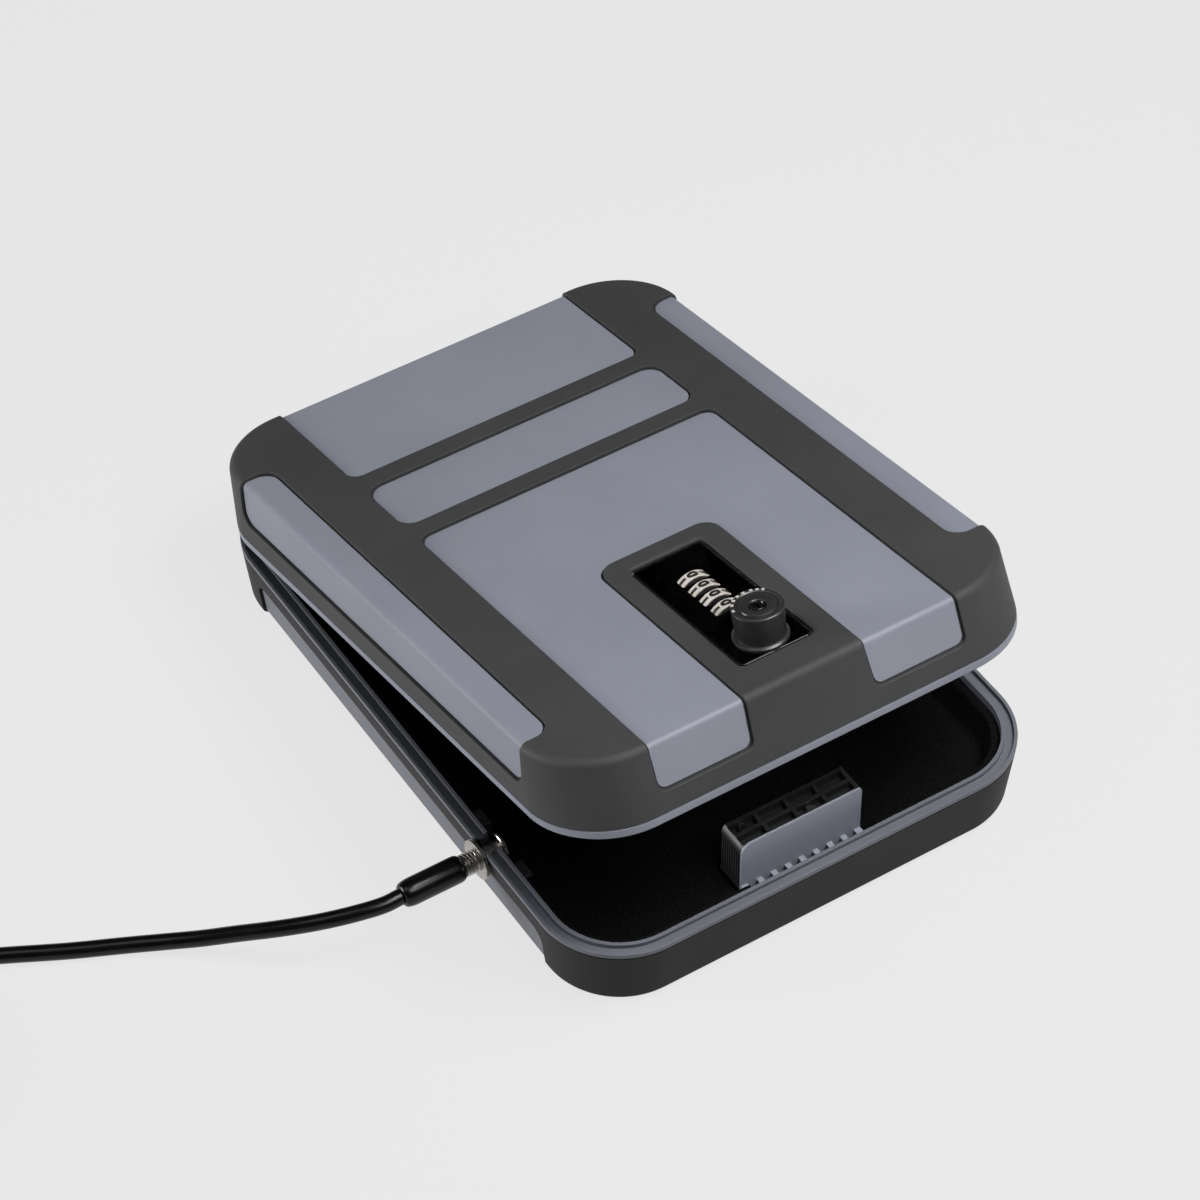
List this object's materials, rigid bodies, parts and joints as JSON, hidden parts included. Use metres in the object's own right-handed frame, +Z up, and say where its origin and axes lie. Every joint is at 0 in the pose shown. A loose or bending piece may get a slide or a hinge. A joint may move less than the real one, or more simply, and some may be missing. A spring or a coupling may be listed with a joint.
{
  "type": "portable car safe",
  "caption": "Flat two-shell lock box with a hinged lid, combination and key knob lock, foam-lined tray and a coated steel security cable.",
  "frame": {"origin": "centre of the closed body's footprint, on the surface it stands on", "axes": "+X to the right seen from the front, +Y from the lock's end to the hinge, +Z up"},
  "size_m": [0.4189, 0.2452, 0.1065],
  "materials": {
    "gray_shell": "satin moulded grey plastic",
    "black_overmould": "fine-textured black overmould",
    "foam": "black open-cell foam",
    "gloss_black": "smooth black plastic",
    "dial_white": "white wheels with printed numbers",
    "steel": "bright plated steel",
    "brass_parts": "plain brass",
    "cable_sheath": "glossy black vinyl sheath"
  },
  "bodies": {
    "base": {"base_shell": "gray_shell", "base_bumper": "black_overmould", "base_liner": "foam", "catch_block": "gray_shell", "catch_screw_1": "steel", "catch_screw_2": "steel", "port_tab_front": "gloss_black", "port_tab_rear": "gloss_black", "hinge_pin_1": "steel", "hinge_pin_2": "steel", "cable_terminal": "steel", "cable_boot": "cable_sheath", "cable_run": "cable_sheath", "cable_coil": "cable_sheath", "cable_tail": "cable_sheath", "eye_sleeve": "steel", "cable_eye": "cable_sheath"},
    "lid": {"lid_shell": "gray_shell", "lid_bumper": "black_overmould", "lock_face": "gloss_black", "lock_case": "gloss_black", "case_cover": "gloss_black", "dial_rod": "steel", "detent_spring": "steel", "case_screw_1": "steel", "case_screw_2": "steel", "case_screw_3": "steel", "case_screw_4": "steel", "cover_screw_1": "steel", "cover_screw_2": "steel"},
    "dial_1_wheel": {"dial_1": "dial_white", "dial_sleeve_1": "brass_parts"},
    "dial_2_wheel": {"dial_2": "dial_white", "dial_sleeve_2": "brass_parts"},
    "dial_3_wheel": {"dial_3": "dial_white", "dial_sleeve_3": "brass_parts"},
    "dial_4_wheel": {"dial_4": "dial_white", "dial_sleeve_4": "brass_parts"},
    "knob_turning": {"knob": "gloss_black", "knob_spindle": "steel", "spindle_clip": "steel", "cam": "steel", "cam_screw": "steel"},
    "key_core": {"key_plug": "gloss_black"},
    "locking_bar": {"lock_bar": "steel"}
  },
  "joints": [
    {"name": "lid_hinge", "type": "hinge", "parent": "base", "child": "lid", "pos_m": [0, 0.1224, 0.0246], "axis": [-1, 0, 0], "range_deg": [-11.92, 83.08]},
    {"name": "dial_1_turn", "type": "hinge", "parent": "lid", "child": "dial_1_wheel", "pos_m": [0, -0.04405, 0.07997], "axis": [0, 0.9784, -0.2065], "continuous": true},
    {"name": "dial_2_turn", "type": "hinge", "parent": "lid", "child": "dial_2_wheel", "pos_m": [0, -0.05031, 0.0813], "axis": [0, 0.9784, -0.2065], "continuous": true},
    {"name": "dial_3_turn", "type": "hinge", "parent": "lid", "child": "dial_3_wheel", "pos_m": [0, -0.05658, 0.08262], "axis": [0, 0.9784, -0.2065], "continuous": true},
    {"name": "dial_4_turn", "type": "hinge", "parent": "lid", "child": "dial_4_wheel", "pos_m": [0, -0.06284, 0.08394], "axis": [0, 0.9784, -0.2065], "continuous": true},
    {"name": "knob_turn", "type": "hinge", "parent": "lid", "child": "knob_turning", "pos_m": [0, -0.07934, 0.09826], "axis": [0, -0.2065, -0.9784], "range_deg": [0, 90]},
    {"name": "key_turn", "type": "hinge", "parent": "knob_turning", "child": "key_core", "pos_m": [0, -0.07934, 0.09826], "axis": [0, -0.2065, -0.9784], "range_deg": [0, 90]},
    {"name": "bar_slide", "type": "slide", "parent": "lid", "child": "locking_bar", "axis": [1, 0, 0], "range_m": [0, 0.0007]}
  ],
  "couplings": [
    {"joint": "bar_slide", "follows": "knob_turn", "m_per_rad": 0.000445}
  ]
}
